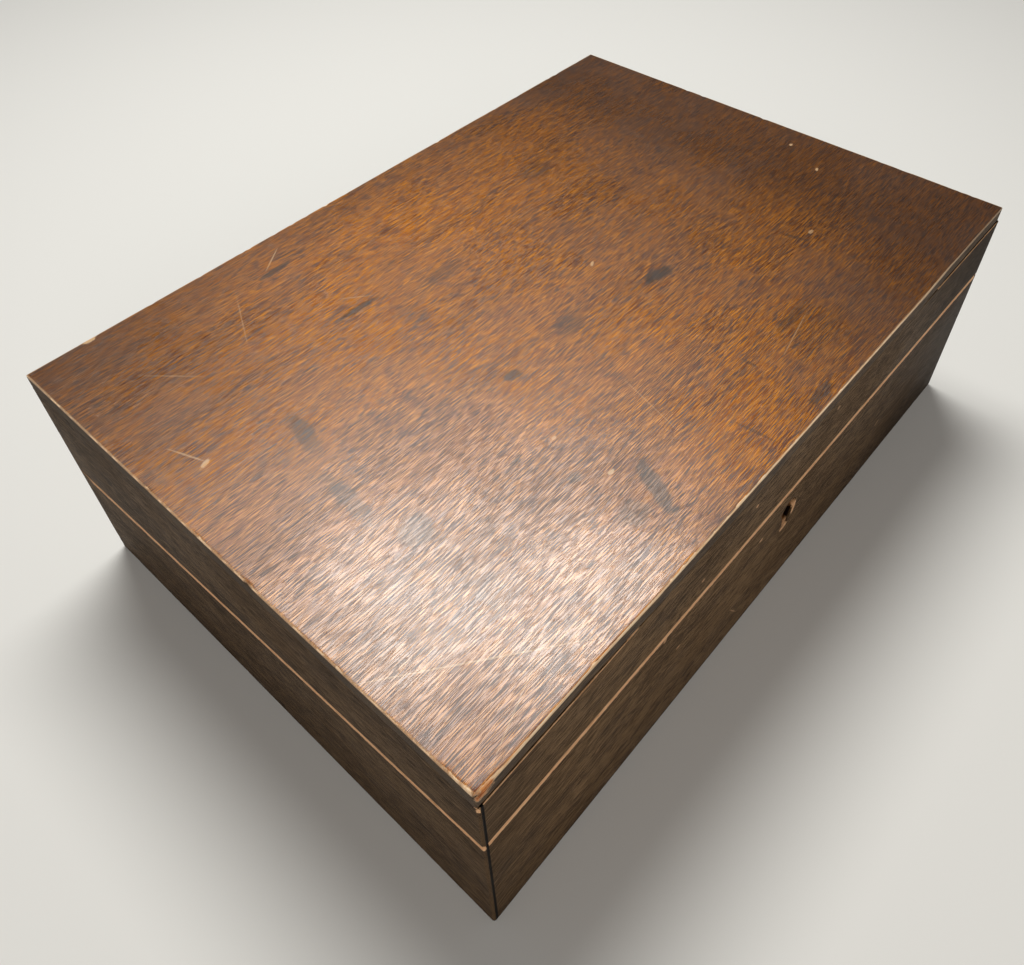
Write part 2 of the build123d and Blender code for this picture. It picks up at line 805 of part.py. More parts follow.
# Writing flaps, each a board with a cloth lining let into its face
flap_fronts = {
    "base_flap": lip_edge + flap_clearance,
    "lid_flap": along_seam(inner_front, face_lift) + flap_clearance,
}
for flap_name, facing in (("base_flap", 1), ("lid_flap", -1)):
    flap_front = flap_fronts[flap_name]
    flap_back = along_seam(flap_axis_y, -facing * flap_axis_lift) - flap_axis_to_edge
    flap_middle = (flap_front + flap_back) / 2
    flap_width = flap_back - flap_front
    flap_face = seam.offset(-facing * face_lift)
    fixed_blanks, moving_blanks = flap_parts[flap_name]

    with BuildPart() as flap_board:
        with BuildSketch(flap_face):
            with Locations((0, flap_middle)):
                Rectangle(flap_length, flap_width)
        extrude(amount=-facing * flap_thickness)
        with BuildSketch(flap_face):
            with Locations((0, flap_middle)):
                Rectangle(flap_length - 2 * lining_margin, flap_width - 2 * lining_margin)
        extrude(amount=-facing * lining_thickness, mode=Mode.SUBTRACT)
        if flap_name == "lid_flap":
            with BuildSketch(button_rim):
                Circle(button_sweep)
            extrude(
                amount=button_face_clearance + button_thickness + flap_recess_clearance,
                mode=Mode.SUBTRACT,
            )
        add(moving_blanks, mode=Mode.SUBTRACT)
    save(flap_board, f"{flap_name}_board")

    with BuildPart() as flap_lining:
        with BuildSketch(flap_face):
            with Locations((0, flap_middle)):
                Rectangle(flap_length - 2 * lining_margin, flap_width - 2 * lining_margin)
        extrude(amount=-facing * lining_thickness)
    save(flap_lining, f"{flap_name}_lining")

# Bottom board, let up into a rebate round the walls
with BuildPart() as base_bottom_board:
    with BuildSketch(Plane.XY):
        Rectangle(
            box_length - 2 * (wall - bottom_rebate),
            box_width - 2 * (wall - bottom_rebate),
        )
    extrude(amount=bottom_board)
save(base_bottom_board, "base_bottom_board")

# Walls of the base, sawn along the slope and worn along their upper arris
with BuildPart() as base_front_wall:
    with BuildSketch(Plane.XY):
        with Locations((0, front_face + wall / 2)):
            Rectangle(box_length - 2 * corner_lap, wall)
    extrude(amount=box_height)
    split(bisect_by=base_rim, keep=Keep.BOTTOM)
    chamfer(base_front_wall.edges().filter_by(Axis.X).group_by(Axis.Y)[0].sort_by(Axis.Z)[-1], rim_wear)
    with BuildSketch(key_frame):
        with BuildLine():
            Polyline(
                (-keyhole_shoulder_width / 2, key_height),
                (-keyhole_foot_width / 2, keyhole_foot_height),
                (keyhole_foot_width / 2, keyhole_foot_height),
                (keyhole_shoulder_width / 2, key_height),
                close=True,
            )
        make_face()
        with Locations((0, key_height)):
            Circle(keyhole_radius)
        with Locations((0, keyhole_foot_height)):
            Circle(keyhole_foot_width / 2)
    extrude(amount=-bolt_setback, mode=Mode.SUBTRACT)
    add(lock_case_mortise.part, mode=Mode.SUBTRACT)
    add(plate_strip.part, mode=Mode.SUBTRACT)
    add(selvedge_strip.part, mode=Mode.SUBTRACT)
    add(lock_blanks, mode=Mode.SUBTRACT)
    add(divider_parts, mode=Mode.SUBTRACT)
    add(base_bottom_board.part, mode=Mode.SUBTRACT)
save(base_front_wall, "base_front_wall")

with BuildPart() as base_back_wall:
    with BuildSketch(Plane.XY):
        with Locations((0, -front_face - wall / 2)):
            Rectangle(box_length - 2 * corner_lap, wall)
    extrude(amount=box_height)
    split(bisect_by=base_rim, keep=Keep.BOTTOM)
    add(hinge_pocket(1), mode=Mode.SUBTRACT)
    add(base_hinge_blanks, mode=Mode.SUBTRACT)
    add(flap_parts["base_flap"][0], mode=Mode.SUBTRACT)
    add(base_bottom_board.part, mode=Mode.SUBTRACT)
save(base_back_wall, "base_back_wall")

for side, hand in ((-1, "left"), (1, "right")):
    board_outline = end_board_outline(side)
    with BuildPart() as base_end_wall:
        with BuildSketch(Plane.XY):
            add(board_outline)
        extrude(amount=box_height)
        split(bisect_by=base_rim, keep=Keep.BOTTOM)
        outer_edges = base_end_wall.edges().sort_by(Axis.X, reverse=side > 0)
        fillet(outer_edges.filter_by(Axis.Z)[0:2], corner_round)
        worn_edges = base_end_wall.edges().filter_by(slope_direction).sort_by(Axis.X, reverse=side > 0)
        chamfer(worn_edges[0], rim_wear)
        add(pen_well_partition.part, mode=Mode.SUBTRACT)
        add(base_bottom_board.part, mode=Mode.SUBTRACT)
    save(base_end_wall, f"base_{hand}_wall")

# Lid, four rails under a solid top board
with BuildPart() as lid_front_rail:
    with BuildSketch(Plane.XY):
        with Locations((0, front_face + wall / 2)):
            Rectangle(box_length - 2 * corner_lap, wall)
    extrude(amount=lid_underside)
    split(bisect_by=lid_rim, keep=Keep.TOP)
    add(strike_plate.part, mode=Mode.SUBTRACT)
    add(strike_blanks, mode=Mode.SUBTRACT)
    with BuildSketch(button_rim):
        Circle(button_sweep)
        with Locations(((button_sweep - button_side) / 2, (button_sweep - button_side) / 2)):
            Rectangle(button_sweep + button_side, button_sweep + button_side, mode=Mode.INTERSECT)
    extrude(
        amount=button_face_clearance + button_thickness + button_back_clearance,
        mode=Mode.SUBTRACT,
    )
    add(turn_button_pivot.part, mode=Mode.SUBTRACT)
save(lid_front_rail, "lid_front_rail")

with BuildPart() as lid_back_rail:
    with BuildSketch(Plane.XY):
        with Locations((0, -front_face - wall / 2)):
            Rectangle(box_length - 2 * corner_lap, wall)
    extrude(amount=lid_underside)
    split(bisect_by=lid_rim, keep=Keep.TOP)
    add(hinge_pocket(-1), mode=Mode.SUBTRACT)
    add(lid_hinge_blanks, mode=Mode.SUBTRACT)
    add(flap_parts["lid_flap"][0], mode=Mode.SUBTRACT)
save(lid_back_rail, "lid_back_rail")

for side, hand in ((-1, "left"), (1, "right")):
    board_outline = end_board_outline(side)
    with BuildPart() as lid_end_rail:
        with BuildSketch(Plane.XY):
            add(board_outline)
        extrude(amount=lid_underside)
        split(bisect_by=lid_rim, keep=Keep.TOP)
        outer_edges = lid_end_rail.edges().sort_by(Axis.X, reverse=side > 0)
        fillet(outer_edges.filter_by(Axis.Z)[0:2], corner_round)
    save(lid_end_rail, f"lid_{hand}_rail")

with BuildPart() as lid_top_board:
    with BuildSketch(Plane.XY.offset(lid_underside)):
        Rectangle(box_length, box_width)
    extrude(amount=top_board)
    fillet(lid_top_board.edges().filter_by(Axis.Z), corner_round)
    fillet(lid_top_board.faces().sort_by(Axis.Z)[-1].edges(), top_arris)
save(lid_top_board, "lid_top_board")

# Glass inkwells, each with a screwed brass cap over a leather washer
bottle_x = inner_length / 2 - inkwell_bay / 2
neck_bottom = bottom_board + bottle_height
neck_top = neck_bottom + neck_height
cap_bottom = neck_top - cap_skirt
cap_top = neck_top + washer_thickness + cap_crown

for side, hand in ((-1, "left"), (1, "right")):
    with BuildPart() as inkwell_bottle:
        with BuildSketch(Plane.XY.offset(bottom_board)):
            with Locations((side * bottle_x, well_middle)):
                RectangleRounded(bottle_side, bottle_side, bottle_corner)
        extrude(amount=bottle_height)
        fillet(inkwell_bottle.faces().sort_by(Axis.Z)[-1].edges(), bottle_corner / 2)
        with BuildSketch(Plane.XY.offset(neck_bottom)):
            with Locations((side * bottle_x, well_middle)):
                Circle(neck_radius)
        extrude(amount=neck_height)
        with BuildSketch(Plane.XY.offset(bottom_board + bottle_floor)):
            with Locations((side * bottle_x, well_middle)):
                Circle(ink_chamber_radius)
        extrude(amount=ink_chamber_height, mode=Mode.SUBTRACT)
        with BuildSketch(Plane.XY.offset(bottom_board + bottle_floor)):
            with Locations((side * bottle_x, well_middle)):
                Circle(neck_bore_radius)
        extrude(amount=box_height, mode=Mode.SUBTRACT)
    save(inkwell_bottle, f"{hand}_inkwell_bottle")

    with BuildPart() as inkwell_cap:
        with BuildSketch(Plane.XY.offset(cap_bottom)):
            with Locations((side * bottle_x, well_middle)):
                Circle(cap_radius)
        extrude(amount=cap_top - cap_bottom)
        fillet(inkwell_cap.faces().sort_by(Axis.Z)[-1].edges(), cap_round)
        with BuildSketch(Plane.XY.offset(cap_bottom)):
            with Locations((side * bottle_x, well_middle)):
                Circle(neck_radius + cap_clearance)
        extrude(amount=cap_skirt + washer_thickness, mode=Mode.SUBTRACT)
    save(inkwell_cap, f"{hand}_inkwell_cap")

with BuildPart() as inkwell_washers:
    with BuildSketch(Plane.XY.offset(neck_top)):
        with Locations((-bottle_x, well_middle), (bottle_x, well_middle)):
            Circle(neck_radius)
    extrude(amount=washer_thickness)
save(inkwell_washers, "inkwell_washers")
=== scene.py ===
# Writing box with a sloping seam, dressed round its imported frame
# Metres, X along the front, Y towards the hinge side, Z up
import json
import math

import bmesh
import bpy
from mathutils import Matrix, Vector, noise

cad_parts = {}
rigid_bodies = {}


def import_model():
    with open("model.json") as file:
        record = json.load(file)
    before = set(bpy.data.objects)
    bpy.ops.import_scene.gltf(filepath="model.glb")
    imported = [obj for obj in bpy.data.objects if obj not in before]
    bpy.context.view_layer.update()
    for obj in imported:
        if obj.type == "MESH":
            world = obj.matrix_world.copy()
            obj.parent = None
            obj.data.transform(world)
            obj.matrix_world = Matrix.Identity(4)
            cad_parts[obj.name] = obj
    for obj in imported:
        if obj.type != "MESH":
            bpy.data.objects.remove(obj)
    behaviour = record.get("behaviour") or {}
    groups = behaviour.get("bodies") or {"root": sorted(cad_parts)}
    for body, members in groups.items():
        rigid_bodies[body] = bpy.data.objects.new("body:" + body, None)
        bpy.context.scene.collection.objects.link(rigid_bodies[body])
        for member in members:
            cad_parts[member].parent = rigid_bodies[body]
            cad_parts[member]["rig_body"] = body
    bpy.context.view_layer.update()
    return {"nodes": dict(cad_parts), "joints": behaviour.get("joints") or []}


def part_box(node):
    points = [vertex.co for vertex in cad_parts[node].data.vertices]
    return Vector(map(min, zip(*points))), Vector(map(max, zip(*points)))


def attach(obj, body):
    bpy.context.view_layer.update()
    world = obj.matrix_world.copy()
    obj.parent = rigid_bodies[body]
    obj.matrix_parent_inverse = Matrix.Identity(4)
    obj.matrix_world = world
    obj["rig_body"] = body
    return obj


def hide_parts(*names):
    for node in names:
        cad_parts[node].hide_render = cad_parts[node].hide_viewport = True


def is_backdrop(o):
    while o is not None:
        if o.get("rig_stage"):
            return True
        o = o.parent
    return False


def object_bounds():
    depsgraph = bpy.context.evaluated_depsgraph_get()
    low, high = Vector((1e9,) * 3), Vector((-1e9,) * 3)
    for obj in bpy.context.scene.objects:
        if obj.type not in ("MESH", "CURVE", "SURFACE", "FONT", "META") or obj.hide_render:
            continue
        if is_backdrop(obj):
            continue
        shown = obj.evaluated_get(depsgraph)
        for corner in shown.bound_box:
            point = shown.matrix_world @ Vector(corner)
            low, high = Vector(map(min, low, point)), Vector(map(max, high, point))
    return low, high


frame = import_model()


# Camera
# It stands where the photograph was taken, close over the near left corner of the box.
camera = bpy.data.objects.new("camera", bpy.data.cameras.new("camera"))
bpy.context.scene.collection.objects.link(camera)
camera.location = (-0.2299, -0.1919, 0.3594)
camera.rotation_euler = [math.radians(turn) for turn in (44.23, 1.188, -48.236)]
camera.data.sensor_width = 36
camera.data.lens = 31.93
camera.data.shift_x = -0.0076
camera.data.shift_y = -0.0913
camera.data.clip_start = 0.01
bpy.context.scene.camera = camera
bpy.context.scene.view_settings.view_transform = "Standard"


# Light
# A wide window behind the box on the right puts the glare on the near left of its top.
# A round lamp beside the camera lights the front, and the pale room does the rest.
glare = Vector((-0.135, -0.08, 0.115))
to_camera = (camera.location - glare).normalized()
to_window = Vector((-to_camera.x, -to_camera.y, to_camera.z))


def add_lamp(name, towards, distance, width, height, energy, colour):
    """An oval lamp that shines at the glare's place from one direction."""
    lamp = bpy.data.objects.new(name, bpy.data.lights.new(name, "AREA"))
    bpy.context.scene.collection.objects.link(lamp)
    lamp.location = glare + towards.normalized() * distance
    lamp.rotation_euler = towards.to_track_quat("Z", "Y").to_euler()
    lamp.data.shape = "ELLIPSE"
    lamp.data.size = width
    lamp.data.size_y = height
    lamp.data.energy = energy
    lamp.data.color = colour


add_lamp("window_lamp", to_window, 1.25, 0.8, 0.45, 14.5, (1.0, 1.0, 0.96))
add_lamp("front_lamp", Vector((-0.6, -0.75, 0.6)), 1.7, 1.2, 1.2, 10.0, (1.0, 0.95, 0.88))

room = bpy.data.worlds.new("room")
bpy.context.scene.world = room
room.use_nodes = True
room_light = room.node_tree.nodes["Background"]
room_light.inputs["Color"].default_value = (1.0, 0.98, 0.96, 1.0)
room_light.inputs["Strength"].default_value = 0.12


# Floor
# A plain pale table top, wide enough to fill every view.
floor_half = 4.0
floor_mesh = bpy.data.meshes.new("floor")
floor_corners = [(-1, -1), (1, -1), (1, 1), (-1, 1)]
floor_mesh.from_pydata([(x * floor_half, y * floor_half, 0) for x, y in floor_corners], [], [(0, 1, 2, 3)])
floor = bpy.data.objects.new("floor", floor_mesh)
bpy.context.scene.collection.objects.link(floor)
floor_paint = bpy.data.materials.new("pale_floor")
floor_paint.use_nodes = True
floor_shader = floor_paint.node_tree.nodes["Principled BSDF"]
floor_shader.inputs["Base Color"].default_value = (0.78, 0.77, 0.75, 1.0)
floor_shader.inputs["Roughness"].default_value = 0.8
floor_shader.inputs["Specular IOR Level"].default_value = 0.2
floor_mesh.materials.append(floor_paint)
floor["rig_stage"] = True


# Top board of the lid
# One wide mahogany board, glued on the rails, with its grain along the box.
# A century of hands and ink has left stains, scratches and pale, nicked arrises on it. The pale arrises
# carry a painted highlight too, and part of the darkening over it is painted shade.
half_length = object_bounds()[1].x
half_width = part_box("base_front_wall")[0].y * -1
box_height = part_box("lid_top_board")[1].z
top_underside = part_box("lid_top_board")[0].z
joints = {joint["name"]: joint for joint in frame["joints"]}
seam_point = Vector(joints["lid_hinge"]["pos_m"])
seam_normal = Vector(joints["turn_button_pivot"]["axis"]).normalized()
seam_angle = math.atan2(seam_normal.y, seam_normal.z)


def seam_height(y):
    """Height of the seam between the two rims at a place."""
    return seam_point.z + (seam_point.y - y) * math.tan(seam_angle)


def paint(red, green, blue):
    """A colour from its screen values, 0 to 255, as the shader wants it."""
    screen = [value / 255 for value in (red, green, blue)]
    linear = [value / 12.92 if value <= 0.04045 else ((value + 0.055) / 1.055) ** 2.4 for value in screen]
    return (*linear, 1.0)


def feed(tree, socket, value):
    """Link a socket to another node's result, or set it to a plain value."""
    if isinstance(value, bpy.types.NodeSocket):
        tree.links.new(value, socket)
    else:
        socket.default_value = value


def node(tree, kind, inputs=None, **settings):
    """A shader node with its settings and inputs."""
    made = tree.nodes.new("ShaderNode" + kind)
    for name, value in settings.items():
        setattr(made, name, value)
    for place, value in (inputs or {}).items():
        feed(tree, made.inputs[place], value)
    return made


def reckon(tree, operation, first, second=0.0, third=0.0):
    """The result of one sum between sockets and numbers."""
    return node(tree, "Math", {0: first, 1: second, 2: third}, operation=operation).outputs[0]


def ease(tree, value, start, end, low=0.0, high=1.0):
    """A smooth step from low to high while the value goes from start to end."""
    values = {"Value": value, "From Min": start, "From Max": end, "To Min": low, "To Max": high}
    return node(tree, "MapRange", values, interpolation_type="SMOOTHSTEP").outputs[0]


def layer(tree, share, under, over):
    """One colour laid over another by a share."""
    return node(tree, "Mix", {0: share, 6: under, 7: over}, data_type="RGBA", blend_type="MIX").outputs[2]


def blotches(tree, place, size, detail=2.0, roughness=0.5):
    """Noise whose blotches have about the given size in metres along each axis."""
    scale = [1 / length for length in size]
    stretched = node(tree, "VectorMath", {0: place, 1: scale}, operation="MULTIPLY").outputs[0]
    values = {"Vector": stretched, "Scale": 1.0, "Detail": detail, "Roughness": roughness}
    return node(tree, "TexNoise", values).outputs[0]


def grain_size(along, length, width):
    """Size of a streak that runs along one axis."""
    return [length if axis == along else width for axis in range(3)]


def new_material(name):
    """A material's node tree, its shader and the place on the piece."""
    material = bpy.data.materials.new(name)
    material.use_nodes = True
    tree = material.node_tree
    place = node(tree, "TexCoord").outputs["Object"]
    return material, tree, tree.nodes["Principled BSDF"], place


def wavy(tree, place, size, amount):
    """The place pushed to and fro by slow noise, so that what is drawn there waves."""
    scale = [1 / length for length in size]
    slow = node(tree, "VectorMath", {0: place, 1: scale}, operation="MULTIPLY").outputs[0]
    cloud = node(tree, "TexNoise", {"Vector": slow, "Scale": 1.0, "Detail": 1.0}).outputs["Color"]
    centred = node(tree, "VectorMath", {0: cloud, 1: (0.5, 0.5, 0.5)}, operation="SUBTRACT").outputs[0]
    push = node(tree, "VectorMath", {0: centred, 1: amount}, operation="MULTIPLY").outputs[0]
    return node(tree, "VectorMath", {0: place, 1: push}, operation="ADD").outputs[0]


def gathered(tree, operation, values):
    """The least or greatest of several values."""
    result = values[0]
    for value in values[1:]:
        result = reckon(tree, operation, result, value)
    return result


def mark(tree, place, ragged, centre, size, turn=(0, 0, 0)):
    """Share of a ragged oval mark of the given length, width and turn about its face's own axis."""
    half = [side / 2 for side in size]
    where = {"Vector": place, "Location": centre, "Rotation": turn, "Scale": half}
    inside = node(tree, "Mapping", where, vector_type="TEXTURE").outputs[0]
    distance = node(tree, "VectorMath", {0: inside}, operation="LENGTH").outputs["Value"]
    uneven = reckon(tree, "MULTIPLY_ADD", ragged, 1.1, distance)
    return ease(tree, uneven, 1.75, 1.2)


def grain(tree, place, along, dark, middle, light, pore_share):
    """Mahogany's colour along one axis, and its fibres, open pores and clouds by themselves."""
    across = [0 if axis == along else 1 for axis in range(3)]
    waved = wavy(tree, place, grain_size(along, 0.1, 0.05), [0.004 * share for share in across])
    waved = wavy(tree, waved, grain_size(along, 0.03, 0.02), [0.0002 * share for share in across])
    figure = blotches(tree, waved, grain_size(along, 0.12, 0.012), detail=3.0)
    fibre = blotches(tree, waved, grain_size(along, 0.008, 0.00024), detail=2.0, roughness=0.6)
    pores = blotches(tree, waved, grain_size(along, 0.006, 0.00018), detail=0.0)
    cloud = blotches(tree, place, (0.05, 0.05, 0.05), detail=2.0)
    colour = layer(tree, ease(tree, figure, 0.36, 0.62), middle, dark)
    colour = layer(tree, ease(tree, fibre, 0.42, 0.6), colour, light)
    colour = layer(tree, ease(tree, cloud, 0.4, 0.75, 0.0, 0.3), colour, dark)
    pore = ease(tree, pores, 0.5, 0.6)
    deep = [0.3 * part for part in dark[:3]] + [1.0]
    colour = layer(tree, reckon(tree, "MULTIPLY", pore, pore_share), colour, deep)
    return colour, fibre, pore, cloud


def worn_arrises(tree, place):
    """Where the wood is worn bare along the arrises, painted pale partly as a painted highlight where the
    rounded arrises catch the light, and how deep a place lies under the upright faces.
    """
    x, y, z = node(tree, "SeparateXYZ", {0: place}).outputs
    from_seam = node(tree, "VectorMath", {0: place, 1: seam_point}, operation="SUBTRACT").outputs[0]
    seam_pair = {0: from_seam, 1: seam_normal}
    across_seam = node(tree, "VectorMath", seam_pair, operation="DOT_PRODUCT").outputs["Value"]
    from_end = reckon(tree, "SUBTRACT", half_length, reckon(tree, "ABSOLUTE", x))
    from_side = reckon(tree, "SUBTRACT", half_width, reckon(tree, "ABSOLUTE", y))
    upright = reckon(tree, "MINIMUM", from_end, from_side)

    # The base's rim is rubbed, but the lid's hardly. The joint under the top board shows at the front as a
    # painted highlight on the rail's upper arris where it catches the light, and is lost towards the
    # middle.
    below_seam = reckon(tree, "MULTIPLY", across_seam, -1.0)
    above_seam = reckon(tree, "MULTIPLY", across_seam, 5.0)
    under_seam = reckon(tree, "MAXIMUM", below_seam, above_seam)
    from_top = reckon(tree, "SUBTRACT", box_height, z)
    over_rail = reckon(tree, "SUBTRACT", z, top_underside)
    below_joint = reckon(tree, "MULTIPLY", over_rail, -1.0)
    above_joint = reckon(tree, "MULTIPLY", over_rail, 5.0)
    under_board = reckon(tree, "MAXIMUM", below_joint, above_joint)
    dashes = blotches(tree, place, (0.02, 0.02, 0.02), detail=2.0)
    outwards = reckon(tree, "MULTIPLY_ADD", dashes, 0.04, reckon(tree, "ABSOLUTE", x))
    near_middle = ease(tree, outwards, 0.13, 0.118)
    off_front = ease(tree, y, 0.0015 - half_width, 0.0025 - half_width)
    hidden = reckon(tree, "MAXIMUM", near_middle, off_front)
    under_board = reckon(tree, "MULTIPLY_ADD", hidden, 0.01, under_board)

    level = [from_top, under_seam, under_board]
    depth = gathered(tree, "MINIMUM", [upright, z] + level)
    from_arris = reckon(tree, "MAXIMUM", upright, gathered(tree, "MINIMUM", level))
    ragged = blotches(tree, place, (0.0012, 0.0012, 0.0012), detail=3.0)
    rubbed_and_lit = ease(tree, reckon(tree, "MULTIPLY_ADD", ragged, -0.0007, from_arris), 0.0, -0.0003)
    rim = reckon(tree, "MULTIPLY_ADD", ragged, -0.0012, reckon(tree, "MAXIMUM", under_seam, upright))
    off_back = ease(tree, y, half_width - 0.006, half_width - 0.012)
    rim = reckon(tree, "MULTIPLY", ease(tree, rim, 0.0022, 0.0018), off_back)
    rubbed_and_lit = reckon(tree, "MAXIMUM", rubbed_and_lit, rim)
    uneven = reckon(tree, "MULTIPLY_ADD", ragged, 0.00012, depth)
    below_faces = ease(tree, uneven, 0.00009, 0.00017)
    near_arris = ease(tree, from_arris, 0.0035, 0.0028)
    # Pale on the rounded arrises: wear, and a painted highlight where they face the light
    worn_and_lit = reckon(tree, "MULTIPLY", below_faces, near_arris)
    return reckon(tree, "MAXIMUM", rubbed_and_lit, worn_and_lit), upright


def finish_wood(tree, shader, colour, fibre, pore, cloud, roughness):
    """Polish over the pores, a little uneven."""
    gloss = reckon(tree, "ADD", ease(tree, cloud, 0.3, 0.7, -0.05, 0.07), roughness)
    relief = reckon(tree, "MULTIPLY_ADD", pore, -1.0, reckon(tree, "MULTIPLY", fibre, 0.5))
    add_relief(tree, shader, relief, 0.4, 0.00003)
    feed(tree, shader.inputs["Base Color"], colour)
    feed(tree, shader.inputs["Roughness"], reckon(tree, "MULTIPLY_ADD", pore, 0.12, gloss))


def add_relief(tree, shader, height, strength, distance):
    """Fine hollows and ridges on a surface."""
    bump = node(tree, "Bump", {"Height": height, "Strength": strength, "Distance": distance}).outputs[0]
    feed(tree, shader.inputs["Normal"], bump)


def stations(low, high, step):
    """Places from low to high, close together towards both ends."""
    offsets = [0.0]
    gap = 0.0002
    while gap < step and 2 * (offsets[-1] + gap) < high - low:
        offsets.append(offsets[-1] + gap)
        gap *= 1.5
    inner_low = low + offsets[-1]
    inner_high = high - offsets[-1]
    count = max(1, round((inner_high - inner_low) / step))
    middle = [inner_low + (inner_high - inner_low) * number / count for number in range(count + 1)]
    ends = offsets[:-1]
    return [low + offset for offset in ends] + middle + [high - offset for offset in reversed(ends)]


arris_reach = 0.004


def arris_radius(spot, on_lid):
    """How far an arris of the box is worn round at a place, with a nick here and there."""
    distances = {
        "end": half_length - abs(spot.x),
        "side": half_width - abs(spot.y),
        "top": box_height - spot.z,
        "under": spot.z,
        "glue": abs(spot.z - top_underside),
        "seam": abs((spot - seam_point).dot(seam_normal)),
    }
    nearest, second = sorted(distances, key=distances.get)[:2]
    if distances[second] > arris_reach:
        return 0.0002
    pair = {nearest, second}
    slow = noise.noise(spot * 45)
    nick = max(0.0, noise.noise(spot * 260 + Vector((7, 3, 1))) - 0.28)
    if "glue" in pair:
        outwards = min(1.0, max(0.0, (abs(spot.x) - 0.09) / 0.02))
        return 0.0002 + 0.0004 * outwards if spot.y < 0.001 - half_width else 0.0001
    if "top" in pair:
        near_corner = max(0.0, 1 - (spot - Vector((-half_length, -half_width, box_height))).length / 0.012)
        return 0.0007 + 0.0002 * slow + 0.0022 * nick + 0.001 * near_corner
    if "seam" in pair and not on_lid and spot.y < 0.11:
        return 0.0019 + 0.0005 * slow + 0.0022 * nick
    if "seam" in pair:
        return 0.0004 + 0.0001 * slow + 0.0008 * nick
    return 0.0011 + 0.0003 * slow + 0.0012 * nick


def is_outside(axis, value):
    """True for a board's face on the outside of the box or in the seam, and not in a glued joint."""
    if axis == 2:
        return abs(value - top_underside) > 0.001
    return abs(value) > (half_length, half_width)[axis] - 0.001


def worn_shell(name, low, high, on_lid, lean):
    """A board's outside with worn arrises. lean carries it from the level to its true slope."""
    step = 0.002
    places = [stations(low[axis], high[axis], step) for axis in range(3)]
    shell = bmesh.new()
    for axis in range(3):
        across, up = (axis + 1) % 3, (axis + 2) % 3
        for end, order in ((low[axis], -1), (high[axis], 1)):
            rows = []
            for over in places[across]:
                row = []
                for rise in places[up]:
                    spot = Vector()
                    spot[axis], spot[across], spot[up] = end, over, rise
                    row.append(shell.verts.new(spot))
                rows.append(row)
            for left, right in zip(rows, rows[1:]):
                for number in range(len(left) - 1):
                    corners = [left[number], right[number], right[number + 1], left[number + 1]]
                    shell.faces.new(corners[::order])
    bmesh.ops.remove_doubles(shell, verts=shell.verts, dist=1e-6)
    for vertex in shell.verts:
        spot = vertex.co.copy()
        margins = [min(spot[axis] - low[axis], high[axis] - spot[axis]) for axis in range(3)]
        close = [axis for axis in range(3) if margins[axis] < arris_reach]
        if len(close) > 1:
            worn = arris_radius(lean(spot), on_lid)
            radius = [worn] * 3
            for axis in close:
                nearest = low[axis] if spot[axis] - low[axis] < arris_reach else high[axis]
                if not is_outside(axis, nearest):
                    radius[axis] = min(worn, 0.0008 if axis == 2 else 0.0002)
            core = Vector()
            for axis in range(3):
                core[axis] = min(max(spot[axis], low[axis] + radius[axis]), high[axis] - radius[axis])
            offset = Vector([(spot[axis] - core[axis]) / radius[axis] for axis in range(3)])
            spot = core + Vector([offset[axis] * radius[axis] / offset.length for axis in range(3)])
        vertex.co = lean(spot)
    mesh = bpy.data.meshes.new(name)
    shell.to_mesh(mesh)
    shell.free()
    return mesh


def add_piece(name, mesh, material):
    """A piece of the box in its place."""
    piece = bpy.data.objects.new(name, mesh)
    bpy.context.scene.collection.objects.link(piece)
    mesh.materials.clear()
    mesh.materials.append(material)
    return piece


def finish_mesh(piece, modifiers):
    """Apply modifiers, given as (type, settings), and shade the piece smooth between its arrises."""
    for kind, settings in modifiers:
        modifier = piece.modifiers.new(kind.lower(), kind)
        for name, value in settings.items():
            setattr(modifier, name, value)
    shaped = bpy.data.meshes.new_from_object(piece.evaluated_get(bpy.context.evaluated_depsgraph_get()))
    piece.modifiers.clear()
    shaped.name = piece.name
    piece.data = shaped
    shaped.shade_smooth()
    shaped.set_sharp_from_angle(angle=math.radians(38))
    weighted = piece.modifiers.new("weighted", "WEIGHTED_NORMAL")
    weighted.keep_sharp = True
    even = bpy.data.meshes.new_from_object(piece.evaluated_get(bpy.context.evaluated_depsgraph_get()))
    piece.modifiers.clear()
    piece.data = even


def stand_for(piece, name):
    """Put a piece in the place of the plain node of the same name."""
    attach(piece, frame["nodes"][name]["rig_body"])
    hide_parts(name)


top_material, tree, shader, place = new_material("mahogany_top")
x, y, z = node(tree, "SeparateXYZ", {0: place}).outputs
top_dark = paint(98, 44, 4)
colour, fibre, pore, cloud = grain(tree, place, 0, top_dark, paint(146, 78, 8), paint(212, 134, 32), 0.9)
# The darker tone laid over the board below: aged wood, and partly painted shade
top_aged_and_shaded = layer(tree, ease(tree, fibre, 0.42, 0.6), paint(42, 20, 3), paint(90, 50, 12))
top_aged_and_shaded = layer(tree, reckon(tree, "MULTIPLY", pore, 0.5), top_aged_and_shaded, paint(16, 8, 2))

# The board is darker towards its right end, its back and two of its corners: partly aged staining, and
# partly painted shade for the light falling off across it.
to_right = ease(tree, x, -0.03, 0.13, 0.0, 0.6)
right_end = ease(tree, reckon(tree, "MULTIPLY_ADD", cloud, 0.03, x), 0.11, 0.15, 0.0, 0.65)
to_back = ease(tree, y, 0.085, 0.125, 0.0, 0.35)
back_left = reckon(tree, "MULTIPLY", ease(tree, x, -0.05, -0.17), ease(tree, y, -0.02, 0.115, 0.0, 0.6))
front_right = reckon(tree, "MULTIPLY", ease(tree, x, -0.03, 0.09), ease(tree, y, -0.055, -0.115, 0.0, 0.6))
for share in (to_right, right_end, to_back, back_left, front_right):
    colour = layer(tree, share, colour, top_aged_and_shaded)

# Metres for each millimetre of a mark's size, with something over for what its ragged edge takes away
mark_scale = 0.0014

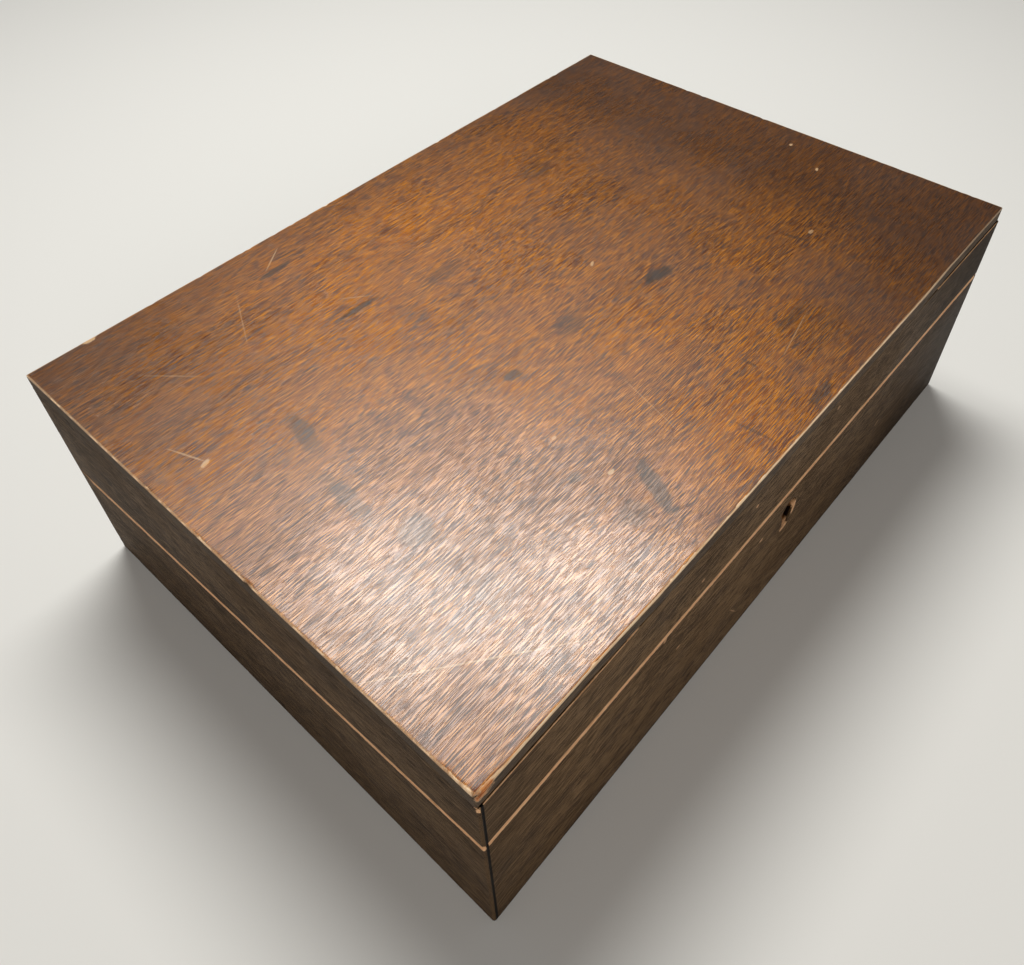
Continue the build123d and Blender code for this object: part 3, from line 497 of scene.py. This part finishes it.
# Ink stains and scorched dashes: place, length and width in millimetres, turn in degrees, strength
stains = [
    (-71, 99, 13, 2.5, 3, 0.7), (-65, 52, 16, 2.5, -2, 0.75), (-123, 15, 18, 5.5, 78, 0.55),
    (-132, -20, 20, 5, 86, 0.45), (-126, -47, 10, 9, 0, 0.5), (-126, -78, 16, 8, 80, 0.2),
    (-60.5, -96, 20, 5, 66, 0.65), (-74, -96, 9, 8, 0, 0.45), (-75, -72, 4, 3, 0, 0.5),
    (-52, -22.5, 6, 4, -30, 0.7), (-15, -20.5, 10, 8, 0, 0.45), (33, -29, 12, 5, -8, 0.85),
    (15, -116, 12, 3.5, 0, 0.6), (45, -86, 17, 3.5, 0, 0.4), (12, -87.5, 5, 1.2, 90, 0.5),
    (94, -60, 9, 1.6, 105, 0.5), (-17, -107, 11, 1.3, 95, 0.45), (-84, -52, 4, 2, 0, 0.4),
    (61, 64, 14, 9, 0, 0.35), (-26, 42, 16, 6, 0, 0.3), (-52, 32, 9, 10, 0, 0.2),
]


def marks(tree, place, grains, marked):
    """Share of several ragged marks on the top, each with its own strength."""
    ragged = blotches(tree, place, (grains, grains, grains), detail=3.0)
    shares = []
    for across, along, length, width, turn, strength in marked:
        centre = (across * 0.001, along * 0.001, box_height)
        size = (length * mark_scale, width * mark_scale, 0.02)
        drawn = mark(tree, place, ragged, centre, size, (0, 0, math.radians(turn)))
        shares.append(reckon(tree, "MULTIPLY", strength, drawn))
    return gathered(tree, "MAXIMUM", shares)


colour = layer(tree, marks(tree, place, 0.003, stains), colour, paint(40, 30, 24))

# Pale nicks and long scratches through the polish, given in the same way
scratches = [
    (-146, -94, 60, 0.5, -37, 0.45), (-65, -80, 2.4, 1.2, 0, 0.7), (-66, -55, 1.6, 1, 0, 0.5),
    (21, -3, 2.6, 1, 30, 0.6), (161, -19, 1.6, 1.1, 0, 0.7), (149, -40, 2.2, 1, 20, 0.7),
    (102, -63, 2.6, 1.4, 0, 0.4), (-155, 30, 3.4, 1.4, 20, 0.7), (-157, 38, 12, 0.6, 110, 0.4),
    (-148, 120, 4, 2, 0, 0.8), (-138, 77, 18, 0.4, -50, 0.25), (-100, 84, 24, 0.4, 62, 0.25),
    (-68, 106, 12, 0.5, 35, 0.4), (-60, 58, 12, 0.4, -40, 0.3), (-94, 122, 4, 1.6, 0, 0.6),
    (38, -92, 22, 0.4, 12, 0.25), (-30, -70, 24, 0.4, 75, 0.2), (-150, -112, 26, 0.4, 20, 0.3),
]
colour = layer(tree, marks(tree, place, 0.0009, scratches), colour, paint(214, 176, 132))

# The board's upright edge is darker than the walls, with painted shade over it for the shadow in the gap
# under the top's arris, and its underside is plain.
# Its upper arris is rubbed bare along the front, and less so towards the right.
wall_tones = paint(58, 40, 25), paint(108, 82, 54), paint(144, 114, 80)
inside_tones = paint(84, 44, 25), paint(122, 70, 40), paint(152, 96, 58)
# The dark tone of painted shade, on the top board's edge and on the walls
painted_shade_tone = paint(34, 25, 17)
edge_colour, *_ = grain(tree, place, 0, *wall_tones, 0.8)
under_colour = layer(tree, fibre, inside_tones[0], inside_tones[2])
# Painted shade over the board's upright edge
edge_colour = layer(tree, 0.45, edge_colour, painted_shade_tone)
edge_colour = layer(tree, ease(tree, z, top_underside + 0.0002, top_underside), edge_colour, under_colour)
over_edge = ease(tree, z, box_height - 0.0009, box_height - 0.0003)
colour = layer(tree, over_edge, edge_colour, colour)
worn_and_lit, upright = worn_arrises(tree, place)
patches = ease(tree, blotches(tree, place, (0.006, 0.006, 0.006), detail=2.0), 0.45, 0.6)
at_front = ease(tree, y, 0.002 - half_width, 0.0008 - half_width)
worn_and_lit = reckon(tree, "MULTIPLY", worn_and_lit, reckon(tree, "MAXIMUM", patches, at_front))
worn_and_lit = reckon(tree, "MULTIPLY", worn_and_lit, ease(tree, z, box_height - 0.0012, box_height - 0.0007))
worn_and_lit = reckon(tree, "MULTIPLY", worn_and_lit, ease(tree, x, 0.16, 0.03, 0.3, 1.0))
rubbed_and_lit_rim = reckon(tree, "MULTIPLY", ease(tree, upright, 0.001, 0.0003, 0.0, 0.45), over_edge)
worn_and_lit = reckon(tree, "MAXIMUM", worn_and_lit, rubbed_and_lit_rim)
ragged = blotches(tree, place, (0.0016, 0.0016, 0.0016), detail=3.0)
orange = mark(tree, place, ragged, (0.003 - half_length, -half_width, box_height), (0.011, 0.003, 0.008))
# Raw wood, painted paler still as a painted highlight where the glare runs up to the arrises
raw_wood_and_highlight = layer(tree, ease(tree, fibre, 0.35, 0.6), paint(236, 188, 138), paint(255, 226, 190))
orange_wood = layer(tree, ease(tree, fibre, 0.35, 0.6), paint(150, 76, 26), paint(232, 150, 78))
bare_and_lit_wood = layer(tree, orange, raw_wood_and_highlight, orange_wood)
colour = layer(tree, reckon(tree, "MAXIMUM", worn_and_lit, orange), colour, bare_and_lit_wood)
finish_wood(tree, shader, colour, fibre, pore, cloud, reckon(tree, "MULTIPLY_ADD", over_edge, -0.6, 0.86))
shader.inputs["Specular IOR Level"].default_value = 0.65

top_low, top_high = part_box("lid_top_board")


def shrunk_back(spot):
    """The board has shrunk a little from the front rail near both ends."""
    outwards = min(1.0, max(0.0, (abs(spot.x) - 0.09) / 0.03))
    at_front = min(1.0, max(0.0, (-0.1 - spot.y) / 0.01))
    return spot + Vector((0, 0.0006 * outwards * at_front, 0))


top_mesh = worn_shell("lid_top_board_worn", top_low, top_high, True, shrunk_back)
top = add_piece("lid_top_board_worn", top_mesh, top_material)
finish_mesh(top, [])
stand_for(top, "lid_top_board")


# Rails of the lid and walls of the base
# Dark polished mahogany boards. The end boards lap over the long ones at the corners.
# The rims were sawn apart along the slope, and the base's upper arris is rubbed to pale raw wood, painted
# paler in part as a painted highlight where it faces up into the light.
joint_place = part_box("base_front_wall")[1].x
keyhole_place = Vector((0.003, -half_width, 0.0575))
wall_materials = {}
for along in (0, 1):
    wall_materials[along], tree, shader, place = new_material("mahogany_walls_" + "xy"[along])
    x, y, z = node(tree, "SeparateXYZ", {0: place}).outputs
    colour, fibre, pore, cloud = grain(tree, place, along, *wall_tones, 0.8)
    worn_and_lit, upright = worn_arrises(tree, place)

    # Painted shade along the foot, where the box meets the floor, and towards the right and the near left
    # of the front, where the walls reflect dark surroundings
    painted_shade = reckon(tree, "MAXIMUM", ease(tree, z, 0.003, 0.0005), ease(tree, x, 0.02, 0.175, 0.0, 0.8))
    painted_shade = reckon(tree, "MAXIMUM", painted_shade, ease(tree, x, -0.135, -0.174, 0.0, 0.35))
    colour = layer(tree, painted_shade, colour, painted_shade_tone)

    # The open joint where the end boards lap over the long ones
    past_joint = reckon(tree, "SUBTRACT", reckon(tree, "ABSOLUTE", x), joint_place)
    from_joint = reckon(tree, "ABSOLUTE", past_joint)
    from_face = reckon(tree, "SUBTRACT", half_width, reckon(tree, "ABSOLUTE", y))
    on_face = ease(tree, from_face, 0.0012, 0.0006)
    open_joint = reckon(tree, "MULTIPLY", ease(tree, from_joint, 0.0007, 0.0004), on_face)

    # Small pale knocks on the front, given as x, z, length, height, turn and strength
    ragged = blotches(tree, place, (0.0009, 0.0009, 0.0009), detail=3.0)
    knocks = [
        (-32, 98, 1.5, 1.3, 0, 0.8), (25, 103, 1.8, 1.3, 0, 0.5), (-64, 88, 1.6, 1.3, 0, 0.5),
        (-18, 62, 1.7, 1.4, 0, 0.7), (-73, 54, 1.8, 1.2, 0, 0.5), (-28, 22, 9, 0.5, -55, 0.35),
        (-84, 74, 2.4, 1.4, 80, 0.6), (92, 38, 3, 1.6, 30, 0.3), (-120, 47, 2, 1, 0, 0.3),
    ]
    shares = []
    for across, up, length, height, turn, strength in knocks:
        centre = (across * 0.001, -half_width, up * 0.001)
        size = (length * mark_scale, 0.004, height * mark_scale)
        drawn = mark(tree, place, ragged, centre, size, (0, -math.radians(turn), 0))
        shares.append(reckon(tree, "MULTIPLY", strength, drawn))
    # Raw wood for knocks and worn arrises, also used for painted highlights on the arrises and at the
    # keyhole
    raw_wood_and_highlight = layer(tree, ease(tree, fibre, 0.3, 0.6), paint(192, 140, 96), paint(238, 190, 146))
    # Painted highlights on the keyhole's lit rim beside it and on the lit facet under it
    lit_rim_beside_hole = keyhole_place + Vector((0.0052, 0, 0))
    lit_facet_under_hole = keyhole_place + Vector((0, 0, -0.0085))
    shares.append(mark(tree, place, ragged, lit_rim_beside_hole, (0.0024, 0.006, 0.0095)))
    shares.append(mark(tree, place, ragged, lit_facet_under_hole, (0.006, 0.006, 0.0035)))
    # Painted shade inside the keyhole, and a painted highlight on its lower wall where the light strikes
    # the raw wood
    near_hole = mark(tree, place, 0.2, keyhole_place + Vector((0, 0.005, 0)), (0.03, 0.024, 0.04))
    in_hole = reckon(tree, "MULTIPLY", ease(tree, upright, 0.0004, 0.0009), near_hole)
    colour = layer(tree, in_hole, colour, paint(36, 24, 16))
    lit_hole_foot = ease(tree, z, keyhole_place.z - 0.0045, keyhole_place.z - 0.006)
    shares.append(reckon(tree, "MULTIPLY", in_hole, lit_hole_foot))
    colour = layer(tree, gathered(tree, "MAXIMUM", shares + [worn_and_lit]), colour, raw_wood_and_highlight)
    colour = layer(tree, open_joint, colour, paint(16, 11, 8))
    inner, *_ = grain(tree, place, along, *inside_tones, 0.5)
    colour = layer(tree, ease(tree, upright, 0.0088, 0.0096), colour, inner)
    finish_wood(tree, shader, colour, fibre, pore, cloud, 0.64)
    shader.inputs["Specular IOR Level"].default_value = 0.5
    shader.inputs["IOR"].default_value = 1.2

# How far the worn shell stands outside a board, so that only its arrises cut into it
skin = 0.00001


def copy_of_node(name):
    """A node's own mesh with its split corners joined, as a new mesh."""
    mesh = bmesh.new()
    mesh.from_mesh(frame["nodes"][name].data)
    bmesh.ops.remove_doubles(mesh, verts=mesh.verts, dist=2e-6)
    joined = bpy.data.meshes.new(name + "_copy")
    mesh.to_mesh(joined)
    mesh.free()
    return joined


def worn_board(name, on_lid, along):
    """A board of the case with all its cuts, inside a shell with worn arrises."""
    low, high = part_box(name)
    middle_y = (low.y + high.y) / 2
    rim = seam_height(middle_y)
    if on_lid:
        level_low = Vector((low.x, low.y, rim))
        level_high = high.copy()
    else:
        level_low = low.copy()
        level_high = Vector((high.x, high.y, rim))

    def lean(spot):
        if on_lid:
            share = (level_high.z - seam_height(spot.y)) / (level_high.z - rim)
            return Vector((spot.x, spot.y, level_high.z - (level_high.z - spot.z) * share))
        share = (seam_height(spot.y) - level_low.z) / (rim - level_low.z)
        return Vector((spot.x, spot.y, level_low.z + (spot.z - level_low.z) * share))

    margin = Vector((skin, skin, skin))
    shell_mesh = worn_shell("shell", level_low - margin, level_high + margin, on_lid, lean)
    shell = bpy.data.objects.new("shell", shell_mesh)
    bpy.context.scene.collection.objects.link(shell)
    board = add_piece(name + "_worn", copy_of_node(name), wall_materials[along])
    finish_mesh(board, [("BOOLEAN", {"operation": "INTERSECT", "solver": "EXACT", "object": shell})])
    bpy.data.objects.remove(shell)
    stand_for(board, name)
    return board


for board_name, board_along in (("front", 0), ("back", 0), ("left", 1), ("right", 1)):
    worn_board(f"base_{board_name}_wall", False, board_along)
    worn_board(f"lid_{board_name}_rail", True, board_along)


# Bottom board and bearers
# Plain deal, sawn and left unpolished. The bottom board lies in a rebate round the walls,
# and the bearers are glued inside them to carry the tray and the two flaps.
def repaint(name, material):
    """Give a node that keeps its own shape a better material."""
    for place_on_node in frame["nodes"][name].material_slots:
        place_on_node.material = material


def soften(name, width):
    """Take the sharpness off a node's arrises by hand, with a narrow rounded bevel."""
    piece = frame["nodes"][name]
    join = piece.modifiers.new("joined", "WELD")
    join.merge_threshold = 0.000002
    bevel = piece.modifiers.new("softened", "BEVEL")
    bevel.width = width
    bevel.segments = 2
    bevel.limit_method = "ANGLE"
    bevel.angle_limit = math.radians(50)
    bevel.harden_normals = True


deal, tree, shader, place = new_material("deal")
waved = wavy(tree, place, (0.15, 0.06, 0.06), (0.0, 0.012, 0.012))
rings = ease(tree, blotches(tree, waved, (0.3, 0.007, 0.007), detail=1.0), 0.42, 0.6)
streaks = blotches(tree, waved, (0.03, 0.0009, 0.0009), detail=2.0)
dust = blotches(tree, place, (0.04, 0.04, 0.04), detail=3.0)
colour = layer(tree, rings, paint(196, 156, 104), paint(164, 118, 70))
colour = layer(tree, ease(tree, streaks, 0.4, 0.7, 0.0, 0.5), colour, paint(140, 96, 56))
colour = layer(tree, ease(tree, dust, 0.45, 0.7, 0.0, 0.45), colour, paint(96, 70, 48))
add_relief(tree, shader, streaks, 0.4, 0.0001)
feed(tree, shader.inputs["Base Color"], colour)
shader.inputs["Roughness"].default_value = 0.75
for board_name in ("base_bottom_board", "pen_tray_bearers", "base_flap_bearers", "lid_flap_bearers"):
    repaint(board_name, deal)
    soften(board_name, 0.0004)


# Pen well partition, inkwell dividers and pen tray
# Thin mahogany boards, oiled and not polished. The partition and dividers are housed in the walls,
# and the tray, ploughed with a trough for pens, lifts out.
inside_woods = {}
for along in (0, 1):
    inside_woods[along], tree, shader, place = new_material("mahogany_inside_" + "xy"[along])
    colour, fibre, pore, cloud = grain(tree, place, along, *inside_tones, 0.6)
    ink_spots = ease(tree, blotches(tree, place, (0.006, 0.006, 0.006), detail=2.0), 0.7, 0.76, 0.0, 0.8)
    colour = layer(tree, ink_spots, colour, paint(30, 26, 30))
    finish_wood(tree, shader, colour, fibre, pore, cloud, 0.62)
    shader.inputs["Specular IOR Level"].default_value = 0.25
for board_name in ("pen_well_partition", "pen_tray"):
    repaint(board_name, inside_woods[0])
    soften(board_name, 0.0006)
for board_name in ("left_inkwell_divider", "right_inkwell_divider"):
    repaint(board_name, inside_woods[1])
    soften(board_name, 0.0006)


# Inkwells
# Glass bottles in the two end bays of the pen well.
# Each is shut by a brass cap on a leather washer.
glass, tree, shader, place = new_material("glass")
swirl = blotches(tree, place, (0.012, 0.012, 0.02), detail=1.0)
haze = blotches(tree, place, (0.008, 0.008, 0.008), detail=3.0)
colour = layer(tree, ease(tree, haze, 0.5, 0.75), paint(222, 240, 232), paint(188, 214, 204))
feed(tree, shader.inputs["Base Color"], colour)
feed(tree, shader.inputs["Roughness"], ease(tree, haze, 0.45, 0.75, 0.02, 0.16))
add_relief(tree, shader, swirl, 0.25, 0.0004)
shader.inputs["Transmission Weight"].default_value = 1.0
shader.inputs["IOR"].default_value = 1.5


def metal(name, clean, tarnish, shine, patchy):
    """Old metal: bright where it is handled, tarnished between, with fine scratches."""
    material, tree, shader, place = new_material(name)
    cloud = blotches(tree, place, (0.009, 0.009, 0.009), detail=4.0, roughness=0.6)
    brushed = blotches(tree, place, (0.006, 0.0003, 0.0003), detail=2.0)
    pits = ease(tree, blotches(tree, place, (0.0009, 0.0009, 0.0009), detail=2.0), 0.62, 0.72)
    dull = ease(tree, cloud, 0.38, 0.66, 0.0, patchy)
    colour = layer(tree, dull, clean, tarnish)
    pit_colour = [0.4 * part for part in tarnish[:3]] + [1.0]
    colour = layer(tree, reckon(tree, "MULTIPLY", pits, 0.6), colour, pit_colour)
    scratched = reckon(tree, "MULTIPLY_ADD", brushed, 0.12, shine)
    rough = reckon(tree, "MULTIPLY_ADD", dull, 0.3, scratched)
    relief = reckon(tree, "MULTIPLY_ADD", pits, -1.0, reckon(tree, "MULTIPLY", brushed, 0.5))
    add_relief(tree, shader, relief, 0.4, 0.00005)
    feed(tree, shader.inputs["Base Color"], colour)
    feed(tree, shader.inputs["Roughness"], rough)
    shader.inputs["Metallic"].default_value = 1.0
    return material


brass = metal("brass", paint(208, 168, 92), paint(128, 92, 50), 0.24, 0.85)
steel = metal("steel", paint(150, 146, 140), paint(92, 72, 56), 0.32, 0.9)
leather, tree, shader, place = new_material("leather")
creases = blotches(tree, place, (0.0012, 0.0012, 0.0012), detail=3.0)
colour = layer(tree, ease(tree, creases, 0.35, 0.65), paint(60, 34, 20), paint(104, 64, 38))
feed(tree, shader.inputs["Base Color"], colour)
add_relief(tree, shader, creases, 0.6, 0.0002)
shader.inputs["Roughness"].default_value = 0.7
for side in ("left", "right"):
    repaint(side + "_inkwell_bottle", glass)
    repaint(side + "_inkwell_cap", brass)
repaint("inkwell_washers", leather)


# Flaps
# Two mahogany boards, hinged at the back of the base and of the lid. They make one slope in the open box.
# Each has a green baize lining, glued into a shallow recess in its writing side.
baize, tree, shader, place = new_material("baize")
nap = blotches(tree, place, (0.0007, 0.0007, 0.0007), detail=3.0, roughness=0.7)
felted = blotches(tree, place, (0.004, 0.0025, 0.004), detail=2.0)
faded = blotches(tree, place, (0.06, 0.045, 0.06), detail=3.0)
colour = layer(tree, ease(tree, nap, 0.3, 0.7), paint(44, 64, 44), paint(72, 94, 64))
colour = layer(tree, ease(tree, felted, 0.35, 0.7, 0.0, 0.4), colour, paint(78, 104, 70))
colour = layer(tree, ease(tree, faded, 0.42, 0.8, 0.0, 0.35), colour, paint(96, 106, 76))
blots = ease(tree, blotches(tree, place, (0.013, 0.013, 0.013), detail=2.0), 0.71, 0.75, 0.0, 0.85)
colour = layer(tree, blots, colour, paint(22, 24, 30))
feed(tree, shader.inputs["Base Color"], colour)
add_relief(tree, shader, nap, 0.8, 0.0003)
shader.inputs["Roughness"].default_value = 0.95
shader.inputs["Specular IOR Level"].default_value = 0.1
shader.inputs["Sheen Weight"].default_value = 0.35
shader.inputs["Sheen Roughness"].default_value = 0.5
cloth_thickness = 0.0005
down_slope = Vector((0, math.cos(seam_angle), -math.sin(seam_angle)))


def stretch_baize(name, facing):
    """A cloth laid flat on a flap, a little uneven. facing is 1 for a face towards the lid."""
    corners = [vertex.co - seam_point for vertex in frame["nodes"][name].data.vertices]
    low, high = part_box(name)
    slopes = [corner.dot(down_slope) for corner in corners]
    heights = [corner.dot(seam_normal) * facing for corner in corners]
    first, last, face = min(slopes), max(slopes), max(heights)
    columns = stations(low.x, high.x, 0.004)
    rows = stations(first, last, 0.004)
    cloth = bmesh.new()
    grid = []
    for along_slope in rows:
        line = []
        for x in columns:
            from_edge = min(x - low.x, high.x - x, along_slope - first, last - along_slope)
            hang = 0.00015 * max(0.0, 1 - from_edge / 0.001) ** 2
            uneven = 0.00006 * (1 + noise.noise(Vector((x, along_slope, facing)) * 60))
            height = face - hang - uneven
            spot = seam_point + down_slope * along_slope + seam_normal * (height * facing)
            line.append(cloth.verts.new(Vector((x, spot.y, spot.z))))
        grid.append(line)
    for under, over in zip(grid, grid[1:]):
        for number in range(len(under) - 1):
            corners = [under[number], under[number + 1], over[number + 1], over[number]]
            cloth.faces.new(corners[::-1] if facing > 0 else corners)
    mesh = bpy.data.meshes.new(name + "_cloth")
    cloth.to_mesh(mesh)
    cloth.free()
    piece = add_piece(name + "_cloth", mesh, baize)
    finish_mesh(piece, [("SOLIDIFY", {"thickness": cloth_thickness, "offset": -1.0})])
    stand_for(piece, name)


for flap_name, flap_facing in (("base_flap", 1), ("lid_flap", -1)):
    repaint(flap_name + "_board", inside_woods[0])
    soften(flap_name + "_board", 0.0004)
    stretch_baize(flap_name + "_lining", flap_facing)


# Hinges
# Brass butt hinges let in flush, with steel pins and slotted countersunk steel screws.
for hinge_name in ("base_hinge", "lid_hinge"):
    repaint(hinge_name + "_leaves", brass)
    repaint(hinge_name + "_screws", steel)
for flap_name in ("base_flap", "lid_flap"):
    repaint(flap_name + "_hinge_pins", steel)
    for part in ("fixed", "moving"):
        repaint(f"{flap_name}_hinge_{part}_leaves", brass)
        repaint(f"{flap_name}_hinge_{part}_screws", steel)
repaint("hinge_pins", steel)


# Lock, strike plate and turn button
# A brass box lock in the front wall. Its bolt slides along the wall to the strike plate's two hooks.
# The turn button, on its own pivot, holds the lid's flap shut.
old_brass = metal("old_brass", paint(150, 116, 62), paint(78, 58, 36), 0.4, 0.95)
for piece_name in ("lock_plate", "lock_bolt", "strike_plate", "turn_button"):
    repaint(piece_name, brass)
repaint("lock_case", old_brass)
for piece_name in ("key_pin", "guide_studs", "screws", "spring"):
    repaint("lock_" + piece_name, steel)
repaint("strike_screws", steel)
repaint("turn_button_pivot", steel)
